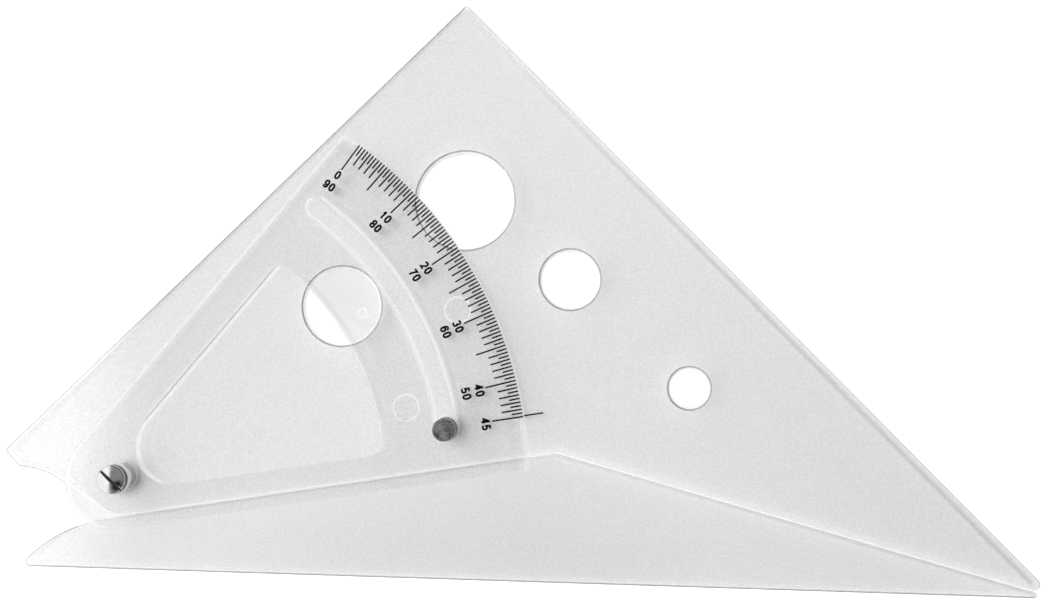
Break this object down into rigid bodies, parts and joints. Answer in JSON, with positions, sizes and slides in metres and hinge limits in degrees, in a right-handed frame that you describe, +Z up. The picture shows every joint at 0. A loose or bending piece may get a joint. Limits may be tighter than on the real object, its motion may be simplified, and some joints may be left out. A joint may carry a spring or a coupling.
{
  "type": "adjustable set square",
  "caption": "Clear right-angled triangle that swings on a pivot over a thin base blade, with a protractor sector, an angle scale and a lock knob in an arc slot.",
  "frame": {"origin": "middle of the closed set square's outer box, on the surface that it lies on", "axes": "+X along the base working edge towards the thin right tip, +Y across it towards the apex, +Z up out of the drawing surface"},
  "size_m": [0.2586, 0.1456, 0.0109],
  "materials": {
    "base_blade": "clear, glossy",
    "protractor_sector": "clear, glossy",
    "scale_marks": "printed black ink",
    "pivot_screw": "polished nickel plate",
    "pivot_washer": "natural nylon",
    "pivot_barrel": "nickel plate",
    "triangle_blade": "clear, glossy",
    "index_mark": "printed black ink",
    "lock_stud": "nickel plate",
    "guide_bush": "natural nylon",
    "lock_washer": "natural nylon",
    "lock_knob": "matt dark grey"
  },
  "bodies": {
    "base": {"base_blade": "base_blade", "protractor_sector": "protractor_sector", "scale_marks": "scale_marks", "pivot_screw": "pivot_screw", "pivot_washer": "pivot_washer", "pivot_barrel": "pivot_barrel"},
    "triangle": {"triangle_blade": "triangle_blade", "index_mark": "index_mark", "lock_stud": "lock_stud", "guide_bush": "guide_bush", "lock_washer": "lock_washer"},
    "knob": {"lock_knob": "lock_knob"}
  },
  "joints": [
    {"name": "angle_hinge", "type": "hinge", "parent": "base", "child": "triangle", "pos_m": [-0.09905, -0.04976, 0], "axis": [0, 0, 1], "range_deg": [0, 45]},
    {"name": "knob_turn", "type": "hinge", "parent": "triangle", "child": "knob", "pos_m": [-0.01511, -0.03514, 0], "axis": [0, 0, 1], "range_deg": [0, 270]}
  ]
}
